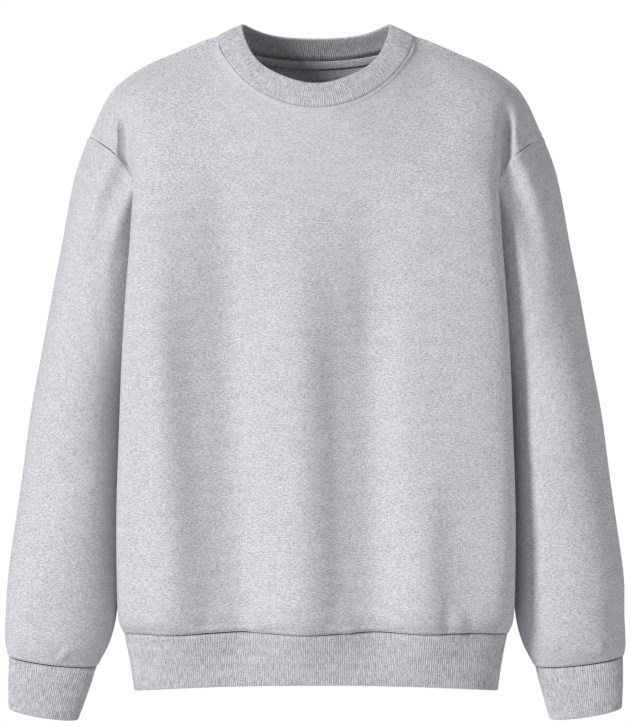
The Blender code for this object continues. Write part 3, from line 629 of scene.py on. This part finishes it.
rib = {"pitch": 2.4, "relief": 0.28, "pointsEach": 6, "wall": 3.0, "foldSteps": 7}
edgeBins = 96  # how many places round a band its free edge is read at


def nodePoints(nodeName):
    corners = np.array([v.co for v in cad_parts[nodeName].data.vertices]) / mm
    return np.unique(np.round(corners, 3), axis=0)


def roundAngle(points):
    # the angle round a level ring, evened out between its long and its short way
    flat = points[:, :up]
    low, high = flat.min(axis=0), flat.max(axis=0)
    flat = (flat - (low + high) / 2) / ((high - low) / 2)
    return np.arctan2(flat[:, 1], flat[:, 0])


def harmonics(angles, count):
    turns = np.outer(angles, np.arange(1, count + 1))
    return np.hstack([np.ones((len(angles), 1)), np.cos(turns), np.sin(turns)])


def freeEdge(nodeName, seam, waves, share):
    # the outer line of the band's free edge, as a smooth curve read at the seam's own angles
    points = nodePoints(nodeName)
    reach = np.array([np.linalg.norm(seam - point, axis=1).min() for point in points])
    points = points[reach > share * reach.max()]
    angles = roundAngle(points)
    out = np.linalg.norm((points - points.mean(axis=0))[:, :up], axis=1)
    chosen = [np.flatnonzero((angles + np.pi) // (2 * np.pi / edgeBins) == k) for k in range(edgeBins)]
    chosen = np.array([found[out[found].argmax()] for found in chosen if len(found)])
    fit = np.linalg.lstsq(harmonics(angles[chosen], waves), points[chosen], rcond=None)[0]
    return harmonics(roundAngle(seam), waves) @ fit


def ribBand(name, seam, edge, look):
    # a closed tube of knit: down the outside, round the fold and up the inside, with ribs on both faces
    ribs = round(np.linalg.norm(np.roll(seam, -1, axis=0) - seam, axis=1).sum() / rib["pitch"])
    lines, across = refined(np.array([seam, edge]), 1, True, count=ribs * rib["pointsEach"])
    seamLine, edgeLine = lines
    width = np.linalg.norm(edgeLine - seamLine, axis=1).mean()
    outwards = unit(edgeLine - seamLine)
    out = unit(np.cross(np.roll(seamLine, -1, axis=0) - np.roll(seamLine, 1, axis=0), outwards))
    if (out * (seamLine - seamLine.mean(axis=0))).sum() < 0:
        out = -out
    half = rib["wall"] / 2
    shares = np.linspace(0, 1 - half / width, look["rows"])

    def layer(share):
        return seamLine + (edgeLine - seamLine) * share + out * look["bulge"] * math.sin(math.pi * share)

    layers = [layer(share) for share in shares]
    heights = [share * width for share in shares]
    for turn in np.linspace(0, math.pi, rib["foldSteps"])[1:-1]:  # round the fold
        centre = layer(shares[-1]) - out * half
        layers.append(centre + out * half * math.cos(turn) + outwards * half * math.sin(turn))
        heights.append(width - half + half * turn)
    for share in np.linspace(shares[-1], 0, look["rows"] // 2):  # inside
        layers.append(layer(share) - out * rib["wall"])
        heights.append(2 * width - share * width)
    grid = np.array(layers)
    around = np.roll(grid, -1, axis=1) - np.roll(grid, 1, axis=1)
    down = np.roll(grid, -1, axis=0) - np.roll(grid, 1, axis=0)
    normals = unit(np.cross(down, around))
    if (normals[look["rows"] // 2] * out).sum() < 0:
        normals = -normals
    wave = np.cos(2 * np.pi * np.arange(len(across)) / rib["pointsEach"])
    grid = grid + normals * (rib["relief"] * (wave - 1))[None, :, None]
    grid = np.concatenate([grid, grid[:1]])  # closes the seam end
    heights = np.array(heights + [heights[-1] + rib["wall"]])
    piece = gridMesh(name, grid, True, (heatherRib,), across, heights)
    weld(piece)
    print(name, len(piece.data.polygons), "faces,", ribs, "ribs")
    print(name, "cut about", round(across[-1]), "x", round(width), "mm")
    return piece


def weld(piece):
    bpy.ops.object.select_all(action="DESELECT")
    bpy.context.view_layer.objects.active = piece
    piece.select_set(True)
    bpy.ops.object.mode_set(mode="EDIT")
    bpy.ops.mesh.select_all(action="SELECT")
    bpy.ops.mesh.remove_doubles(threshold=0.001 * mm)
    bpy.ops.mesh.select_all(action="SELECT")
    bpy.ops.mesh.normals_make_consistent(inside=False)
    bpy.ops.object.mode_set(mode="OBJECT")
    piece.select_set(False)


def joinedRing(first, second):
    # two lines end to end as one ring; where they meet, two end points become one
    ends = [(second[-1] + first[0]) / 2], [(first[-1] + second[0]) / 2]
    return np.concatenate([ends[0], first[1:-1], ends[1], second[1:-1]])


neckColumns = slice(8, 25)  # of a panel's 33
bandSeams = {
    "waistband": joinedRing(coarseGrids["front"][0], coarseGrids["back"][0]),
    "collar": joinedRing(coarseGrids["front"][-1, neckColumns], coarseGrids["back"][-1, neckColumns]),
    "cuff_left": coarseGrids["sleeve_left"][0],
    "cuff_right": coarseGrids["sleeve_right"][0],
}
# How each band is laid: rows of points down its outside, how far it bulges in its middle, the waves that its
# free edge is drawn with, and the share of its width past which a point counts as that edge
bandLooks = {
    "waistband": {"rows": 12, "bulge": -0.8, "waves": 12, "edgeShare": 0.7},
    "collar": {"rows": 10, "bulge": 0.8, "waves": 6, "edgeShare": 0.75},
    "cuff_left": {"rows": 12, "bulge": 0.6, "waves": 4, "edgeShare": 0.7},
    "cuff_right": {"rows": 12, "bulge": 0.6, "waves": 4, "edgeShare": 0.7},
}
bands = {}
for name, look in bandLooks.items():
    seam = bandSeams[name]
    edge = freeEdge(name, seam, look["waves"], look["edgeShare"])
    away = unit(edge - seam)
    bands[name] = ribBand(name + "_knit", seam + away * seamGap, edge, look)
print("rib bands made")


# Neck tape, sewn flat over the neck seam inside the back

tape = {
    "wall": 0.9,
    "inside": 3.1,  # how far it lies in from the back's outer face, behind the fleece and its sunken seam
    "spacing": (2.0, 0.9),
    "crown": 0.35,
}
backNormals = gridNormals(coarseGrids["back"], False)
tapeGrid = (coarseGrids["back"] - backNormals * tape["inside"])[-2:, neckColumns]
tapeGrid, tapeAcross = refined(tapeGrid, tape["spacing"][0])
tapeGrid, tapeAlong = refined(tapeGrid.transpose(1, 0, 2), tape["spacing"][1])
tapeGrid = tapeGrid.transpose(1, 0, 2)
crown = np.sin(np.pi * tapeAlong / tapeAlong[-1])[:, None, None]
tapeGrid = tapeGrid - gridNormals(tapeGrid, False) * tape["crown"] * crown
neckTape = gridMesh("neck_tape_cloth", tapeGrid, False, (tapeTwill,), tapeAcross, tapeAlong, tape["wall"])
print("neck tape made")


# Sewing: short straight stitches of thread that lie in the dents of the cloth

stitch = {
    "pitch": 3.4, "length": 2.6, "thickness": 0.75, "sides": 6,
    "stand": 0.05,  # how far its middle stands out of the cloth
    "ends": 0.3,  # how far its two ends dip
    "rings": ((-0.5, 0.35), (-0.3, 1.0), (0.3, 1.0), (0.5, 0.35)),  # shares of its length and thickness
}


def stitchLine(path, normals, closed):
    # one stitch each few millimetres along a line of points, as corners and faces
    if closed:
        path, normals = np.concatenate([path, path[:1]]), np.concatenate([normals, normals[:1]])
    steps = np.linalg.norm(np.diff(path, axis=0), axis=1)
    places = np.concatenate([[0], np.cumsum(steps)])
    at = np.arange(stitch["pitch"] / 2, places[-1], stitch["pitch"])

    def read(values, where):
        return np.stack([np.interp(where, places, values[:, axis]) for axis in range(3)], axis=1)

    ahead = unit(read(path, at + stitch["length"] / 2) - read(path, at - stitch["length"] / 2))
    out = unit(read(normals, at))
    out = unit(out - ahead * (out * ahead).sum(axis=1, keepdims=True))
    sideways = np.cross(out, ahead)
    centre = read(path, at) + out * stitch["stand"]
    corners, faces = [], []
    sides, rings = stitch["sides"], stitch["rings"]
    for place, size in rings:
        reach = stitch["thickness"] / 2 * size
        dip = stitch["ends"] if size < 1 else 0
        for turn in 2 * np.pi * np.arange(sides) / sides:
            corners.append(
                centre + ahead * place * stitch["length"] + sideways * reach * math.cos(turn)
                + out * (reach * math.sin(turn) - dip)
            )
    for start in range(0, (len(rings) - 1) * sides, sides):
        for k in range(sides):
            beside = (k + 1) % sides
            faces.append([start + k, start + beside, start + sides + beside, start + sides + k])
    last = (len(rings) - 1) * sides
    faces += [list(range(sides))[::-1], list(range(last, last + sides))]
    return np.stack(corners, axis=1), faces


def sewing(name, lines):
    points, faces = [], []
    for path, normals, closed in lines:
        corners, template = stitchLine(path, normals, closed)
        for each in corners:
            start = len(points)
            points += (each * mm).tolist()
            faces += [[start + corner for corner in face] for face in template]
    mesh = bpy.data.meshes.new(name)
    mesh.from_pydata(points, [], faces)
    mesh.materials.append(sewingThread)
    mesh.shade_smooth()
    piece = bpy.data.objects.new(name, mesh)
    bpy.context.scene.collection.objects.link(piece)
    weld(piece)
    print(name, len(faces), "faces")
    return piece


def rowsOn(name, edge, seam, columns=slice(None), closed=False):
    # the lines of stitches that run beside a seam on one edge of a shell
    points = shells[name][1]
    normals = gridNormals(points, name.startswith("sleeve"))
    lines, distance = inwards(points, edge)
    normalLines = inwards(normals, edge)[0]
    found = []
    for wanted in seamLooks[seam]["stitches"]:
        path, out = [], []
        for j in range(lines.shape[1])[columns]:
            path.append([np.interp(wanted, distance[:, j], lines[:, j, axis]) for axis in range(3)])
            out.append([np.interp(wanted, distance[:, j], normalLines[:, j, axis]) for axis in range(3)])
        found.append((np.array(path), np.array(out), closed))
    return found


def neckSpan(name):
    # the columns of a shell that lie on the neck, and those of its two shoulders
    points = shells[name][1]
    onNeck = np.abs(points[-1, :, right]) <= neckHalfWidth + 0.5
    first, last = np.flatnonzero(onNeck)[[0, -1]]
    return slice(first, last + 1), slice(0, first + 1), slice(last, points.shape[1])


sewnLines = {"neck": [], "shoulder": [], "armhole": [], "hem": [], "cuff": []}
for name in ("front", "back"):
    neck, shoulderA, shoulderB = neckSpan(name)
    sewnLines["neck"] += rowsOn(name, "top", "neck", neck)
    sewnLines["hem"] += rowsOn(name, "bottom", "hem")
    for shoulder in (shoulderA, shoulderB):
        sewnLines["shoulder"] += rowsOn(name, "top", "shoulder", shoulder)
    for edge, column in (("start", 0), ("end", -1)):
        low = int(np.argmax(shells[name][1][:, column, up] > underarmZ))
        sewnLines["armhole"] += rowsOn(name, edge, "armhole", slice(low, None))
for name in ("sleeve_left", "sleeve_right"):
    sewnLines["armhole"] += rowsOn(name, "top", "armhole", closed=True)
    sewnLines["cuff"] += rowsOn(name, "bottom", "cuff", closed=True)
threads = {seam: sewing(seam + "_stitches", lines) for seam, lines in sewnLines.items()}
print("sewing made")


# Each dressed piece goes on the root's frame, and the CAD part that it stands for is hidden

dressed = {name: shell[0] for name, shell in shells.items()}
dressed.update(bands)
dressed["neck_tape"] = neckTape
for name, piece in dressed.items():
    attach(piece, "root")
    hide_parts(name)
for piece in threads.values():
    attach(piece, "root")
print("pieces placed on the frame")


# Floor, light and camera

studio = {
    "floorZ": -1.45, "floorSize": 24.0, "floorColor": "#f4f4f4",
    "fill": {"Color": (0.98, 0.98, 1.0, 1.0), "Strength": 0.33},
    "backdrop": {"Color": (1.0, 1.0, 1.0, 1.0), "Strength": 1.0},
    "key": {"from": (-1.05, -1.0, 0.5), "energy": 2.5, "angle": 0.25},
    "side": {"from": (1.0, -0.7, 0.3), "energy": 0.35, "angle": 0.9},
}


def paleFloor():
    bpy.ops.mesh.primitive_plane_add(size=studio["floorSize"], location=(0, 0, studio["floorZ"]))
    floor = bpy.context.active_object
    floor.name = "studio_floor"
    bpy.ops.object.transform_apply(location=True, rotation=True, scale=True)
    # Matt pale paint, so that the floor gives back a soft light and no reflection
    material, _, shader = newMaterial("painted studio floor", 0.9, 0.0)
    shader.inputs["Base Color"].default_value = hexColor(studio["floorColor"])
    floor.data.materials.append(material)
    floor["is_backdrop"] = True


def softLight():
    for name in ("key", "side"):
        light = bpy.data.lights.new(name, "SUN")
        light.energy = studio[name]["energy"]
        light.angle = studio[name]["angle"]
        lamp = bpy.data.objects.new(name, light)
        lamp.rotation_euler = Vector(studio[name]["from"]).to_track_quat("Z", "Y").to_euler()
        bpy.context.scene.collection.objects.link(lamp)
    world = bpy.data.worlds.new("studio")
    world.use_nodes = True
    bpy.context.scene.world = world
    tree = world.node_tree
    tree.nodes.clear()
    seen = addNode(tree, "ShaderNodeLightPath").outputs["Is Camera Ray"]
    fill = addNode(tree, "ShaderNodeBackground", studio["fill"])
    backdrop = addNode(tree, "ShaderNodeBackground", studio["backdrop"])
    mixed = addNode(tree, "ShaderNodeMixShader", links={
        0: seen, 1: fill.outputs["Background"], 2: backdrop.outputs["Background"],
    })
    addNode(tree, "ShaderNodeOutputWorld", links={"Surface": mixed.outputs["Shader"]})
    bpy.context.scene.view_settings.view_transform = "Standard"


framing = {
    "distance": 20.0, "reach": 60.0, "middleX": -0.0005, "middleZ": -0.3434, "height": 0.7623, "sensor": 36.0,
}


def levelCamera():
    camera = bpy.data.cameras.new("camera")
    camera.sensor_width = framing["sensor"]
    camera.lens = framing["sensor"] * framing["distance"] / framing["height"]
    camera.clip_end = framing["reach"]
    stand = bpy.data.objects.new("camera", camera)
    stand.location = (framing["middleX"], -framing["distance"], framing["middleZ"])
    stand.rotation_euler = (math.pi / 2, 0, 0)
    bpy.context.scene.collection.objects.link(stand)
    bpy.context.scene.camera = stand


paleFloor()
softLight()
levelCamera()
print("studio made")

low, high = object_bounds()
